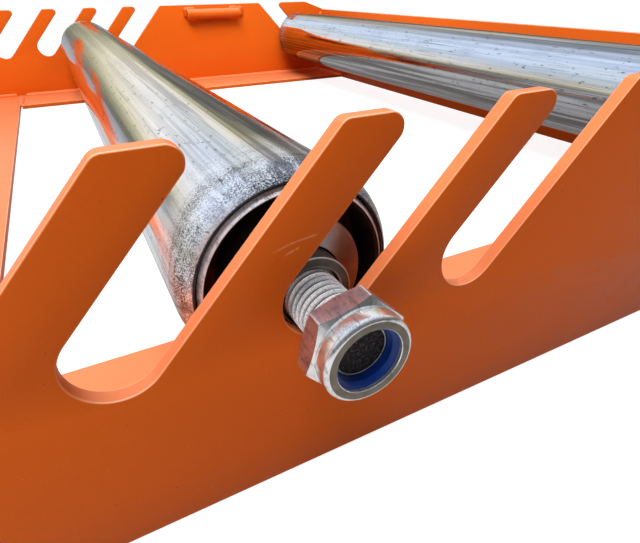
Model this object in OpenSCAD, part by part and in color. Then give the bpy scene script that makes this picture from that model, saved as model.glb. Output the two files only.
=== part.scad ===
// Cable reel stand: a low welded frame with two free-turning rollers that carry a cable reel.
// X runs along the side plates, from the low front edge to the end wall. Y runs across the stand
// and Z is up. The origin is the centre of the footprint on the floor.
// The rollers are loose in sloping slots: each lifts out along its slot and drops into another.

/* [Frame] */
// Length of the side plates
frame_len = 622; // [600:1:700]
// Width over the outer faces of the side plates
frame_w = 803; // [500:1:1100]
// Height of the side plates
plate_h = 121.5; // [117:0.5:130]
// Thickness of the side plates
plate_t = 5; // [4:0.5:8]
// Height of the end wall, and of the side plates where they meet it
wall_h = 108.5; // [100:0.5:114]
// Thickness of the end wall
wall_t = 5; // [4:0.5:8]
// Length over which the side plates drop to the end wall
drop_len = 38; // [20:1:60]
// Rounding of the corners at the ends of the side plates
end_r = 3; // [1:0.5:5]
// Width of the flat front plate
front_w = 87; // [60:1:110]
// Width of the base strips along the side plates
strip_w = 82; // [50:1:110]
// Thickness of the front plate and the base strips
strip_t = 5; // [4:0.5:8]
// Gap between a base strip and the front plate
strip_gap = 2; // [1:0.5:4]

/* [Slots] */
// Width of a slot
slot_w = 25; // [23:0.5:27]
// Slope of the slots above the floor, in degrees
slot_angle = 47; // [44:1:50]
// Height of the centre of a slot's round seat
seat_h = 70.5; // [67:0.5:74]
// Distance from the low end to the centre of the first seat
first_seat = 84; // [81:0.5:87]
// Distance between neighbouring seats of the row
slot_pitch = 57.5; // [55:0.5:60]
// Number of slots in the row
slot_count = 4; // [3:1:4]
// Number of free slots of the row in front of the front roller
free_slot_count = 2; // [0:1:2]
// Distance from the high end to the centre of the single seat
last_seat = 64; // [60:1:80]
// Rounding of the pointed corner of a finger
tip_r = 4.2; // [2:0.1:5]
// Rounding of the blunt corner of a finger
lip_r = 4; // [2:0.1:6]

/* [Grip bars] */
// Diameter of a grip bar
grip_d = 15; // [12:1:18]
// Length of a grip bar
grip_len = 90; // [70:1:110]
// Depth of a grip bar's centre line below the top edge of the side plate
grip_drop = 13.5; // [13:0.5:20]
// Radius of the weld beads above and below each end of a grip bar
grip_bead_r = 4; // [3:0.5:5]
// Length of those weld beads
grip_bead_len = 16; // [10:1:30]
// Distance of those weld beads from the line where bar and plate touch
grip_bead_start = 2.5; // [2:0.1:2.8]

/* [Welds] */
// Leg of the weld beads in the corners of the frame
weld_leg = 4; // [3:0.5:6]
// Distance that a weld bead stops short of an edge
weld_stop = 4; // [2:0.5:8]

/* [Roller drums] */
// Outer diameter of a drum
drum_d = 76; // [70:1:84]
// Wall of the drum tube
drum_wall = 3; // [2:0.5:4]
// Distance from the inside of a side plate to the end of the drum
drum_gap = 12; // [9:0.5:14]
// Amount by which the radius of the drum shrinks towards its domed ends
turn_in = 4.8; // [4.5:0.1:6]
// Length of a domed end
turn_len = 12; // [10:0.5:14]
// Gap between the domed end of the drum and the rim of the bearing housing
rim_gap = 0.6; // [0.3:0.1:1]
// Thickness of the housing's rim
rim_t = 2.4; // [1.5:0.1:3]
// Distance that the rim stands out of the end of the drum
rim_proud = 0.6; // [0:0.1:2]
// Thickness of the bearing housing's walls
housing_t = 2; // [1.5:0.1:2.5]
// Narrowing of the ring-shaped well around the hub towards its bottom
well_taper = 1.1; // [0:0.1:2]
// Thickness of the dust cap over the bearing
cap_t = 1.2; // [0.8:0.1:1.4]
// Rise of the dust cap from its rim to its hole
cap_rise = 2.6; // [1:0.1:3]
// Height of the dust cap's rim above the hub
cap_rim_h = 1.6; // [1.5:0.1:3]

/* [Bearings] */
// Outer diameter of a ball bearing
bearing_od = 42; // [40:1:47]
// Width of a ball bearing
bearing_w = 12; // [10:1:14]
// Depth of the bearing behind the end of the drum
bearing_depth = 2; // [1.5:0.5:5]
// Number of balls in a bearing
ball_count = 9; // [7:1:10]
// Thickness of the ball cage and of the bearing's side shields
cage_t = 1; // [0.6:0.1:1.2]

/* [Axles] */
// Diameter of an axle between its threaded ends
axle_d = 20; // [19:0.5:21]
// Diameter of the threaded ends
thread_d = 18; // [17:0.5:18.5]
// Length of a threaded end inside the side plate
thread_in = 5; // [3:0.5:8]
// Distance from the outside of a side plate to the tip of the axle
axle_out = 21.5; // [21:0.5:24]
// Chamfer on the tip of the axle
axle_chamfer = 1.1; // [0.5:0.1:2]
// Outer diameter of the spacer between side plate and bearing
spacer_d = 26.8; // [25:0.2:28]
// Gap between the side plate and the spacer
spacer_gap = 1.5; // [0.5:0.1:3]
// Thickness of the retaining ring behind a bearing
ring_t = 1.2; // [1:0.1:1.5]
// Outer diameter of the retaining ring
ring_d = 26; // [24:0.5:27]
// Depth of the groove that holds the retaining ring
groove_depth = 0.5; // [0.3:0.1:0.8]

/* [Nuts] */
// Width of a nut across its flats
nut_af = 27; // [27:0.5:29]
// Height of a nut
nut_h = 13.5; // [13:0.5:15]
// Gap between the side plate and the nut
nut_gap = 13; // [12:0.5:14]
// Height of the six-sided part of a nut
nut_hex_h = 7.4; // [6.8:0.1:8]
// Chamfer on the six-sided part of a nut
nut_chamfer = 1.2; // [0.8:0.1:1.5]
// Angle by which a nut is turned about its axle
nut_angle = 15; // [0:5:55]
// Diameter of the round collar of a nut
collar_d = 26.6; // [26:0.1:27]
// Rounding of the collar's outer edge
collar_r = 1.6; // [0.8:0.1:2]
// Thickness of the collar's wall and of its turned-in lip
collar_t = 1.4; // [1:0.1:1.6]
// Diameter of the opening in the collar
collar_bore = 19.4; // [19:0.1:20]
// Amount by which the radius of the locking ring is smaller than the thread's
lock_bite = 0.8; // [0.4:0.1:1.2]

/* [Clearances] */
// Gap between an axle and the seat that it rests on
seat_fit = 0.3; // [0.2:0.05:0.5]
// Radial clearance of the pieces that slide onto an axle
bore_fit = 0.04; // [0.02:0.01:0.1]
// Clearance between the balls and the races, and around the outer race
ball_fit = 0.06; // [0.04:0.01:0.1]
// Clearance between the bearing's side shields and its inner race
shield_fit = 0.3; // [0.2:0.05:0.5]

/* [Hidden] */
SIDES = ["near", "far"];
ROLLERS = ["front", "rear"];
FRAME_NODES = ["front_plate", "end_wall", "base_welds", "front_welds", "end_wall_welds", "grip_welds"];
SIDE_NODES = ["side_plate", "base_strip", "grip_bar"];
ROLLER_NODES = ["drum_tube", "axle"];
ROLLER_END_NODES = [
    "bearing_housing", "dust_cap", "bearing_outer_race", "ball_cage",
    "bearing_inner_race", "retaining_ring", "spacer", "lock_nut", "nut_insert"
];

$fn = 64;
arc_steps = 6;
cut = 1;
paint = "#e2601c";
weld_paint = "#f07a3a";
zinc = "#c3c8cc";
bright_zinc = "#d9dde0";
bare_steel = "#8f9396";
dark_steel = "#55585b";
blue_nylon = "#1d4fb4";

// Half of the horizontal opening of a slot, and how far a slot leans on its way to the top
half_mouth = slot_w / 2 / sin(slot_angle);
slot_lean = (plate_h - seat_h) / tan(slot_angle);
// Corner where the first finger leaves the top edge, and the height of the plate's low end
first_lip = first_seat - slot_pitch + slot_lean + half_mouth;
low_end_h = plate_h - first_lip * tan(slot_angle);
rear_seat = frame_len - last_seat;
row_seats = [for (i = [0 : slot_count - 1]) first_seat + i * slot_pitch];
grip_x = (row_seats[slot_count - 1] + slot_lean + rear_seat - slot_lean) / 2;
grip_h = plate_h - grip_drop;

inner_half_w = frame_w / 2 - plate_t;
strip_start = front_w + strip_gap;
strip_end = frame_len - wall_t;

axle_r = axle_d / 2;
thread_r = thread_d / 2;
axle_z = seat_h - slot_w / 2 + thread_r + seat_fit;
drum_r = drum_d / 2;
drum_in_r = drum_r - drum_wall;
drum_mouth_r = drum_r - turn_in;
// Radius of the dome's arc, which leaves the tube without a kink and ends at the drum's mouth
dome_r = (turn_len * turn_len + turn_in * turn_in) / (2 * turn_in);
drum_half = inner_half_w - drum_gap;
rim_r = drum_mouth_r - rim_gap;

// Heights at a roller's end count outwards from the inside of the side plate
bearing_out = -drum_gap - bearing_depth;
bearing_in = bearing_out - bearing_w;
bearing_mid = (bearing_out + bearing_in) / 2;
hub_in_r = bearing_od / 2 + ball_fit;
hub_out_r = hub_in_r + housing_t;
hub_top = bearing_out + cage_t;

// A ball bearing's balls fill this share of the space between its bore and its rim
ball_share = 0.29;
// The races are this share of a ball's diameter apart
race_gap_share = 0.8;
// The shields lie this share of the bearing's width inside its faces
shield_inset_share = 0.05;
ball_d = ball_share * (bearing_od - axle_d);
ball_pitch_r = (bearing_od + axle_d) / 4;
inner_race_r = ball_pitch_r - race_gap_share * ball_d / 2;
outer_race_r = ball_pitch_r + race_gap_share * ball_d / 2;
race_groove_r = ball_d / 2 + ball_fit;
shield_inset = shield_inset_share * bearing_w;

nut_start = plate_t + nut_gap;
nut_corner_r = nut_af / 2 / cos(30);
collar_out_r = collar_d / 2;
insert_r = collar_out_r - collar_t;
ring_gap_angle = 40;

function unit(v) = v / norm(v);
function turned(v, angle) = [v.x * cos(angle) - v.y * sin(angle), v.x * sin(angle) + v.y * cos(angle)];

// Points of the arc of radius r that rounds the corner p between its neighbours a and b
function corner_arc(a, p, b, r) =
    let (
        to_a = unit(a - p),
        to_b = unit(b - p),
        half = acos(to_a * to_b) / 2,
        centre = p + unit(to_a + to_b) * r / sin(half),
        start = p + to_a * r / tan(half) - centre,
        end = p + to_b * r / tan(half) - centre,
        sweep = sign(cross(start, end)) * (180 - 2 * half)
    )
    [for (i = [0 : arc_steps]) centre + turned(start, sweep * i / arc_steps)];

// An outline whose points are [x, y, corner radius], with its corners rounded
function rounded(outline) =
    [
        for (i = [0 : len(outline) - 1])
            let (
                n = len(outline),
                a = outline[(i + n - 1) % n],
                p = outline[i],
                b = outline[(i + 1) % n]
            )
            each p[2] > 0 ? corner_arc([a.x, a.y], [p.x, p.y], [b.x, b.y], p[2]) : [[p.x, p.y]]
    ];

// Points of an arc about a centre
function arc(centre, r, from, to) =
    [
        for (i = [0 : arc_steps])
            let (angle = from + (to - from) * i / arc_steps)
            centre + r * [cos(angle), sin(angle)]
    ];

// Outline of a slot from its left lip to its right lip. It leans to the right if way is 1 and to
// the left if way is -1, and its bottom is cut straight through the centre of its seat.
function slot_outline(x, way) =
    let (
        mouth = x + way * slot_lean,
        across = sin(slot_angle) * slot_w / 2,
        down = way * cos(slot_angle) * slot_w / 2
    )
    [
        [mouth - half_mouth, plate_h, way > 0 ? tip_r : lip_r],
        [x - across, seat_h + down, 0],
        [x + across, seat_h - down, 0],
        [mouth + half_mouth, plate_h, way > 0 ? lip_r : tip_r]
    ];

// Side view of a side plate, from its low end
function side_outline() =
    [
        [0, 0, 0],
        [0, low_end_h, end_r],
        [first_lip, plate_h, lip_r],
        for (x = row_seats) each slot_outline(x, 1),
        each slot_outline(rear_seat, -1),
        [frame_len - drop_len, plate_h, end_r],
        [frame_len, wall_h, end_r],
        [frame_len, 0, 0]
    ];

// Distance along X of a roller's axle, from the low end
function roller_x(roller) = roller == "front" ? first_seat + free_slot_count * slot_pitch : rear_seat;

// Draws on the near side, or mirrored on the far side
module on_side(side) {
    if (side == "far") mirror([0, 1, 0]) children();
    else children();
}

// Draws with X counted from the low end
module from_low_end() {
    translate([-frame_len / 2, 0, 0]) children();
}

// Draws along a roller's axle, with Z along it
module on_axle(roller) {
    from_low_end() translate([roller_x(roller), 0, axle_z]) rotate([90, 0, 0]) children();
}

// Draws at a roller's end, with Z outwards from the inside of the side plate
module at_end(roller, side) {
    on_side(side) on_axle(roller) translate([0, 0, inner_half_w]) children();
}

// Slotted side plate, which carries the axles' ends
module side_plate() {
    color(paint) from_low_end() translate([0, -inner_half_w, 0]) rotate([90, 0, 0]) difference() {
        linear_extrude(plate_t) polygon(rounded(side_outline()));
        for (x = [each row_seats, rear_seat])
            translate([x, seat_h, -cut]) cylinder(d = slot_w, h = plate_t + 2 * cut);
    }
}

// Flat strip on the floor along the inside of a side plate
module base_strip() {
    color(paint) from_low_end() translate([strip_start, -inner_half_w, 0])
        cube([strip_end - strip_start, strip_w, strip_t]);
}

// Flat plate across the low end, which the reel rolls over
module front_plate() {
    color(paint) from_low_end() translate([0, -inner_half_w, 0])
        cube([front_w, 2 * inner_half_w, strip_t]);
}

// Upright wall across the high end, between the side plates
module end_wall() {
    color(paint) from_low_end() translate([frame_len - wall_t, -inner_half_w, 0])
        cube([wall_t, 2 * inner_half_w, wall_h]);
}

// Round bar on the inside of a side plate, to lift the stand by
module grip_bar() {
    color(paint) from_low_end() translate([grip_x - grip_len / 2, grip_d / 2 - inner_half_w, grip_h])
        rotate([0, 90, 0]) cylinder(d = grip_d, h = grip_len);
}

// Quarter-round weld bead that fills the corner between two plates
module weld_bead(len) {
    color(weld_paint) linear_extrude(len) intersection() {
        circle(weld_leg);
        square(weld_leg);
    }
}

// Beads along the base strips
module base_welds() {
    for (side = SIDES)
        on_side(side) from_low_end()
            translate([strip_start + weld_stop, -inner_half_w, strip_t])
            rotate([90, 0, 90]) weld_bead(strip_end - strip_start - 2 * weld_stop - weld_leg);
}

// Beads that join the front plate to the side plates, and fill the gap at the base strips' ends
module front_welds() {
    for (side = SIDES)
        on_side(side) from_low_end() {
            translate([weld_stop, -inner_half_w, strip_t])
                rotate([90, 0, 90]) weld_bead(front_w - 2 * weld_stop);
            color(weld_paint) translate([front_w, weld_leg - inner_half_w, 0])
                cube([strip_gap, strip_w - weld_leg - weld_stop, strip_t + weld_leg / 4]);
        }
}

// Upright beads between the end wall and the side plates
module end_wall_welds() {
    for (side = SIDES)
        on_side(side) from_low_end()
            translate([frame_len - wall_t, -inner_half_w, strip_t + weld_leg])
            rotate([0, 0, 90]) weld_bead(wall_h - strip_t - weld_leg - weld_stop);
}

// Section of the beads above and below a grip bar, with the plate at X 0 and the bar's centre at Y 0
module grip_bead_section() {
    difference() {
        for (way = [-1, 1]) translate([0, way * (grip_bead_start + grip_bead_r)]) circle(grip_bead_r);
        translate([-2 * grip_bead_r, -grip_d]) square([2 * grip_bead_r, 2 * grip_d]);
        translate([grip_d / 2, 0]) circle(d = grip_d);
    }
}

// Beads along both ends of the grip bars
module grip_welds() {
    color(weld_paint) for (side = SIDES, start = [0, grip_len - grip_bead_len])
        on_side(side) from_low_end() translate([grip_x - grip_len / 2 + start, -inner_half_w, grip_h])
            rotate([90, 0, 90]) linear_extrude(grip_bead_len) grip_bead_section();
}

// Half of a drum's wall, seen from the side: [radius, distance from the middle of the roller]
function drum_section() =
    let (
        centre = [drum_r - dome_r, drum_half - turn_len],
        reach = dome_r - turn_in
    )
    [
        [drum_in_r, 0],
        [drum_r, 0],
        each arc(centre, dome_r, 0, acos(reach / dome_r)),
        each arc(centre, dome_r - drum_wall, acos(reach / (dome_r - drum_wall)), 0)
    ];

// Steel drum with its ends domed in over the bearing housings
module drum_tube() {
    color(zinc) for (half = [0, 1])
        mirror([0, 0, half]) rotate_extrude() polygon(drum_section());
}

// Bearing housing: a rim and a ring-shaped well around the hub that holds the bearing
module bearing_housing() {
    step = -drum_gap - turn_len - rim_gap;
    color(dark_steel) rotate_extrude() polygon([
        [rim_r - rim_t, rim_proud - drum_gap],
        [rim_r, rim_proud - drum_gap],
        [rim_r, step],
        [drum_in_r, step],
        [drum_in_r, bearing_in - housing_t],
        [outer_race_r + housing_t / 2, bearing_in - housing_t],
        [outer_race_r + housing_t / 2, bearing_in],
        [hub_in_r, bearing_in],
        [hub_in_r, hub_top],
        [hub_out_r, hub_top],
        [hub_out_r, bearing_in],
        [rim_r - rim_t - well_taper, bearing_in]
    ]);
}

// Pressed cap over the bearing, with a hole around the spacer
module dust_cap() {
    hole_r = spacer_d / 2 + 2 * shield_fit;
    color(zinc) rotate_extrude() polygon([
        [hub_in_r, hub_top],
        [hub_out_r, hub_top],
        each arc([hub_out_r - cap_t, hub_top + cap_rim_h - cap_t], cap_t, 0, 90),
        [hole_r, hub_top + cap_rim_h + cap_rise],
        [hole_r, hub_top + cap_rim_h + cap_rise - cap_t],
        [hub_in_r, hub_top + cap_rim_h - cap_t]
    ]);
}

// Outer race with the two side shields that close the bearing
module bearing_outer_race() {
    color(bare_steel) difference() {
        union() {
            translate([0, 0, bearing_in]) difference() {
                cylinder(d = bearing_od, h = bearing_w);
                translate([0, 0, -cut]) cylinder(r = outer_race_r, h = bearing_w + 2 * cut);
            }
            for (z = [bearing_in + shield_inset, bearing_out - shield_inset - cage_t / 2])
                translate([0, 0, z]) difference() {
                    cylinder(r = outer_race_r + cage_t / 2, h = cage_t / 2);
                    translate([0, 0, -cut]) cylinder(r = inner_race_r + shield_fit, h = cage_t + 2 * cut);
                }
        }
        translate([0, 0, bearing_mid]) rotate_extrude() translate([ball_pitch_r, 0]) circle(race_groove_r);
    }
}

// Inner race, which sits on the axle
module bearing_inner_race() {
    color(bare_steel) difference() {
        translate([0, 0, bearing_in]) cylinder(r = inner_race_r, h = bearing_w);
        translate([0, 0, bearing_in - cut]) cylinder(r = axle_r + bore_fit, h = bearing_w + 2 * cut);
        translate([0, 0, bearing_mid]) rotate_extrude() translate([ball_pitch_r, 0]) circle(race_groove_r);
    }
}

// Balls, held apart by a thin band
module ball_cage() {
    color(bright_zinc) translate([0, 0, bearing_mid]) {
        for (i = [0 : ball_count - 1])
            rotate(i * 360 / ball_count) translate([ball_pitch_r, 0, 0]) sphere(d = ball_d);
        difference() {
            cylinder(r = ball_pitch_r + cage_t / 2, h = ball_d / 2, center = true);
            cylinder(r = ball_pitch_r - cage_t / 2, h = ball_d, center = true);
        }
    }
}

// Open ring in the axle's groove, behind the bearing
module retaining_ring() {
    color(dark_steel) translate([0, 0, bearing_in - ring_t]) rotate(ring_gap_angle / 2)
        rotate_extrude(angle = 360 - ring_gap_angle)
        translate([axle_r - groove_depth + bore_fit, 0]) square([ring_d / 2 - axle_r + groove_depth, ring_t]);
}

// Tube between the side plate and the bearing's inner race
module spacer() {
    color(bright_zinc) translate([0, 0, bearing_out]) difference() {
        cylinder(d = spacer_d, h = -bearing_out - spacer_gap);
        translate([0, 0, -cut]) cylinder(r = axle_r + bore_fit, h = 2 * cut - bearing_out);
    }
}

// Axle through the whole roller, with grooves for the retaining rings and chamfered threaded tips
module axle() {
    tip = frame_w / 2 + axle_out;
    groove_z = inner_half_w + bearing_in - ring_t;
    color(bare_steel) difference() {
        union() {
            cylinder(d = axle_d, h = 2 * (inner_half_w - thread_in), center = true);
            cylinder(d = thread_d, h = 2 * tip, center = true);
        }
        for (half = [0, 1]) mirror([0, 0, half]) {
            translate([0, 0, groove_z - bore_fit]) rotate_extrude()
                translate([axle_r - groove_depth, 0]) square([axle_r, ring_t + bore_fit]);
            rotate_extrude() polygon([
                [thread_r - axle_chamfer, tip + cut],
                [thread_r - axle_chamfer, tip],
                [thread_r, tip - axle_chamfer],
                [thread_r + cut, tip - axle_chamfer],
                [thread_r + cut, tip + cut]
            ]);
        }
    }
}

// Locking nut: chamfered six-sided body and a round collar turned in over the locking ring
module lock_nut() {
    edge_r = nut_af / 2 - nut_chamfer / 2;
    color(bright_zinc) translate([0, 0, nut_start]) rotate(nut_angle) difference() {
        union() {
            intersection() {
                cylinder(r = nut_corner_r, h = nut_hex_h, $fn = 6);
                rotate_extrude() polygon([
                    [0, 0],
                    [edge_r, 0],
                    [nut_corner_r, nut_chamfer],
                    [nut_corner_r, nut_hex_h - nut_chamfer],
                    [edge_r, nut_hex_h],
                    [0, nut_hex_h]
                ]);
            }
            rotate_extrude() polygon([
                [0, nut_hex_h - nut_chamfer],
                [collar_out_r, nut_hex_h - nut_chamfer],
                each arc([collar_out_r - collar_r, nut_h - collar_r], collar_r, 0, 90),
                [0, nut_h]
            ]);
        }
        translate([0, 0, -cut]) cylinder(r = thread_r + bore_fit, h = nut_h);
        translate([0, 0, nut_hex_h]) cylinder(r = insert_r, h = nut_h - nut_hex_h - collar_t);
        translate([0, 0, nut_hex_h]) cylinder(d = collar_bore, h = nut_h);
    }
}

// Nylon locking ring inside the nut's collar, narrower than the thread past the axle's tip
module nut_insert() {
    bottom = nut_start + nut_hex_h;
    step = plate_t + axle_out + bore_fit;
    top = nut_start + nut_h - collar_t;
    color(blue_nylon) rotate_extrude() polygon([
        [thread_r + bore_fit, bottom],
        [insert_r, bottom],
        [insert_r, top],
        [thread_r - lock_bite / 2, top],
        [thread_r - lock_bite, (top + step) / 2],
        [thread_r - lock_bite, step],
        [thread_r + bore_fit, step]
    ]);
}

front_plate();
end_wall();
base_welds();
front_welds();
end_wall_welds();
grip_welds();

for (s = SIDES) {
    on_side(s) side_plate();
    on_side(s) base_strip();
    on_side(s) grip_bar();
}

for (r = ROLLERS) {
    on_axle(r) drum_tube();
    on_axle(r) axle();
}

for (r = ROLLERS, s = SIDES) {
    end = str(r, "_", s, "_");
    at_end(r, s) bearing_housing();
    at_end(r, s) dust_cap();
    at_end(r, s) bearing_outer_race();
    at_end(r, s) ball_cage();
    at_end(r, s) bearing_inner_race();
    at_end(r, s) retaining_ring();
    at_end(r, s) spacer();
    at_end(r, s) lock_nut();
    at_end(r, s) nut_insert();
}
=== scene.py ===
"""Looks of the cable reel stand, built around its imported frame.

Sizes are in millimetres, as in the part's source, and each finished mesh is scaled to metres.
"""

import math

import bmesh
import bpy
from mathutils import Matrix, Vector


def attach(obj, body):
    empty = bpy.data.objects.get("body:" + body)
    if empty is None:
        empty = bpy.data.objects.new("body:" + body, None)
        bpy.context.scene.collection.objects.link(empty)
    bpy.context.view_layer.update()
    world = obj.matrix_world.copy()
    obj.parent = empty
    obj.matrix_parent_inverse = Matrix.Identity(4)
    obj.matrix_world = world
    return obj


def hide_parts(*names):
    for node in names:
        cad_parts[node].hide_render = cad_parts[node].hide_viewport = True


MM = 0.001
MERGE = 1e-4
SIDES = {"near": -1, "far": 1}

# Frame: its length, its width over the side plates, and the plates
FRAME_LEN, FRAME_W = 622, 803
PLATE_H, PLATE_T = 121.5, 5
WALL_H, WALL_T = 108.5, 5
DROP_LEN = 38  # length over which a plate's top edge falls to the end wall
END_R = 3
FRONT_W = 87
STRIP_W, STRIP_T, STRIP_GAP = 82, 5, 2

# Slots: a row with one slope, counted from the low end, and one slot with the opposite slope
SLOT_W, SLOT_ANGLE = 25, math.radians(47)
SEAT_H = 70.5
FIRST_SEAT, SLOT_PITCH, SLOT_COUNT = 84, 57.5, 4
FREE_SLOTS = 2  # slots that lie between the low end and the front roller
LAST_SEAT = 64  # from the high end
TIP_R, LIP_R = 4.2, 4  # roundings of a slot's pointed and blunt corner
ROUND_SHARE = 0.999  # keeps neighbouring roundings just apart
ROUND_STEPS = 16
OUTLINE_MERGE, SQUARE_FIT = 0.03, 0.02

# Grip bars
GRIP_D, GRIP_LEN, GRIP_DROP, GRIP_EDGE = 15, 90, 13.5, 0.8

# Weld beads: radius, length of a ripple, then ripple and slow wander as shares of the radius
WELD_LEG, WELD_STOP = 4, 4
SMOOTH_BEAD = (WELD_LEG, 2.0, 0.012, 0.03)
CORNER_BEAD = (WELD_LEG, 1.2, 0.03, 0.05)
UPRIGHT_BEAD = (WELD_LEG, 1.3, 0.03, 0.05)
JOINING_BEAD = (3.7, 1.5, 0.07, 0.16)
GRIP_BEAD_R, GRIP_BEAD_LEN, GRIP_BEAD_START = 4, 16, 2.5
GRIP_BEAD = (GRIP_BEAD_R, 1.2, 0.05, 0.08)
LUMP_PAST_BAR = 4
GRIP_LUMPS = ((0, 4.5), (GRIP_LEN + LUMP_PAST_BAR, 5.5))  # place from the bar's low end, and radius
LUMP_LEN, LUMP_DROP, LUMP_SURFACE = 16, 6, (1.2, 0.08, 0.15)
BASE_BEAD_IN, BASE_BEAD_SINK, BASE_BEAD_SPREAD = 3, 0.5, 1.7
JOINING_SINK, JOINING_FLATNESS = 0.8, 0.7
SEED_STEP = 1.7  # makes the beads of the two sides differ
BEAD_TIP_SHARE = 0.35

# Rounding of painted edges
PAINT_EDGE = 0.5
CURVE_LEAST_ANGLE = 50  # leaves the steps of round corners and bars as they are

# Steps round a full turn
BEAD_STEPS, GRIP_STEPS, AXLE_STEPS, HOUSING_STEPS, DRUM_STEPS = 20, 64, 96, 128, 192

# Steps of an arc in an outline
DOME_STEPS, CREST_STEPS = 16, 8

# Drums: tubes whose ends are domed in
DRUM_R, DRUM_WALL, DRUM_GAP = 38, 3, 12
TURN_IN, TURN_LEN = 4.8, 12
DRUM_EDGE = 0.35

# Bearing housings and dust caps
RIM_GAP, RIM_T, RIM_PROUD, RIM_SLOPE = 0.6, 2.4, 0.6, 2.2
# Past the bright share, the rim's inner side gets the well's dark finish, a painted shade
RIM_CREST_SHARE, BRIGHT_SHARE = 0.6, 0.7  # of the rim's thickness, from its outer edge
HOUSING_T, WELL_TAPER, HOUSING_EDGE = 2, 1.1, 0.3
FLOOR_HOLE_OUT = 2.5  # how far the floor's hole goes past the middle between axle and bearing
HUB_PROUD = 1
CAP_T, CAP_RISE, CAP_RIM_H, CAP_EDGE, CAP_HOLE_FIT = 1.2, 2.6, 1.6, 0.25, 0.6
BEARING_R, BEARING_W, BEARING_DEPTH, BALL_FIT = 21, 12, 2, 0.06

# Axles with threaded ends
AXLE_R, THREAD_R, THREAD_IN, AXLE_OUT, AXLE_CHAMFER = 10, 9, 5, 21.5, 1.1
AXLE_EDGE = 0.6
THREAD_PITCH, THREAD_ROOT_R, THREAD_STEPS = 2.5, 7.55, 72
THREAD_PROFILE = [(0, 0), (0.13, 0), (0.36, 0.6), (0.50, 1), (0.62, 1), (0.76, 0.6), (1, 0)]
THREAD_BURIED = 1  # of the thread's length, inside the thicker bar
THREAD_MERGE = 0.002
SPARE_TURNS = 2  # cut off again at either end
BURR_W = 0.35
SPACER_R, SPACER_GAP, SPACER_EDGE = 13.4, 1.5, 0.5
BORE_FIT, SEAT_FIT = 0.04, 0.3

# Lock nuts: a six-sided body, and a round collar over the locking ring
NUT_AF, NUT_H, NUT_GAP, NUT_HEX_H, NUT_CHAMFER = 27, 13.5, 13, 7.4, 1.2
NUT_ANGLE = math.radians(15)
NUT_BORE_FIT, NUT_BORE_LEN, NUT_COUNTERSINK, NUT_CORNER_R = 0.1, 4, 0.9, 0.45
COLLAR_R, COLLAR_EDGE_R, COLLAR_T = 13.3, 1.6, 1.4
COLLAR_BORE_R, COLLAR_LIP_R, COLLAR_UNDERCUT, UNDERCUT_RISE = 9.7, 0.35, 0.6, 0.1
COLLAR_NECK = [(0.25, 0.05), (0.25, 0.75), (0.13, 1.0), (0, 1.35)]  # how far in, and how high
LOCK_BITE = 0.8
LOCK_ENTRY = [(1.2, 0), (0.5, 0.35), (0, 1.1)]  # how far out from the bore, and how far down
FLAT_FIT, UPRIGHT_TILT = 0.02, 0.3

# Worked out from the sizes above
INNER_HALF_W = FRAME_W / 2 - PLATE_T
DRUM_HALF_LEN = INNER_HALF_W - DRUM_GAP
SLOT_LEAN = (PLATE_H - SEAT_H) / math.tan(SLOT_ANGLE)
HALF_MOUTH = SLOT_W / 2 / math.sin(SLOT_ANGLE)
FIRST_LIP = FIRST_SEAT - SLOT_PITCH + SLOT_LEAN + HALF_MOUTH
LOW_END_H = PLATE_H - FIRST_LIP * math.tan(SLOT_ANGLE)
REAR_SEAT = FRAME_LEN - LAST_SEAT
ROW_SEATS = [FIRST_SEAT + i * SLOT_PITCH for i in range(SLOT_COUNT)]
ROLLER_X = {"front": ROW_SEATS[FREE_SLOTS], "rear": REAR_SEAT}
GRIP_X = (ROW_SEATS[-1] + REAR_SEAT) / 2
GRIP_START = GRIP_X - GRIP_LEN / 2
GRIP_H = PLATE_H - GRIP_DROP
STRIP_START, STRIP_END = FRONT_W + STRIP_GAP, FRAME_LEN - WALL_T
AXLE_Z = SEAT_H - SLOT_W / 2 + THREAD_R + SEAT_FIT
BEARING_OUT = -DRUM_GAP - BEARING_DEPTH
BEARING_IN = BEARING_OUT - BEARING_W
HUB_R = BEARING_R + BALL_FIT + HOUSING_T
HUB_TOP = BEARING_OUT + HUB_PROUD
NUT_START = PLATE_T + NUT_GAP

# Colours of the orange coat
ORANGE_DEEP, ORANGE_BRIGHT = (0.70, 0.110, 0.0070), (0.76, 0.124, 0.0090)
ORANGE_GRAIN, ORANGE_SCRATCH = (0.64, 0.096, 0.006), (0.90, 0.33, 0.15)
DARK_SPECK, PALE_SPECK = (0.22, 0.035, 0.010), (0.88, 0.30, 0.10)
# Painted sheen on faces turned to the sky
PAINTED_SKY_SHEEN = (0.84, 0.37, 0.20)
# Painted highlights along the edges, paler still on edges turned to the sky
PAINTED_EDGE_HIGHLIGHT, PAINTED_TOP_EDGE_HIGHLIGHT = (0.92, 0.30, 0.11), (0.95, 0.66, 0.50)

# Scratches on the near side plate, in metres: start, then rise, bow, length and width
SCRATCH_WOBBLE, SCRATCH_FACE_IN, SCRATCH_FACE_OUT = 0.0004, 0.0001, 0.0004
PLATE_FACE_Y = -FRAME_W / 2 * MM
SCRATCHES = [
    ((-0.1272, PLATE_FACE_Y, 0.0895), 0.33, 11.0, 0.0145, 0.0004),
    ((-0.1236, PLATE_FACE_Y, 0.0878), 0.42, 20.0, 0.0050, 0.0005),
]

# Colours of the drums' zinc
ZINC_DULL, ZINC_BRIGHT = (0.70, 0.71, 0.75), (0.97, 0.98, 1.0)
ZINC_YELLOWED, ZINC_CLOUD = (0.74, 0.73, 0.58), (0.62, 0.63, 0.68)
# The colour after the drawn lines is a painted dark reflection, laid in bands along the drums' sides
DRAWN_LINE, PAINTED_DARK_REFLECTION = (0.20, 0.20, 0.21), (0.085, 0.070, 0.058)
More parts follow.
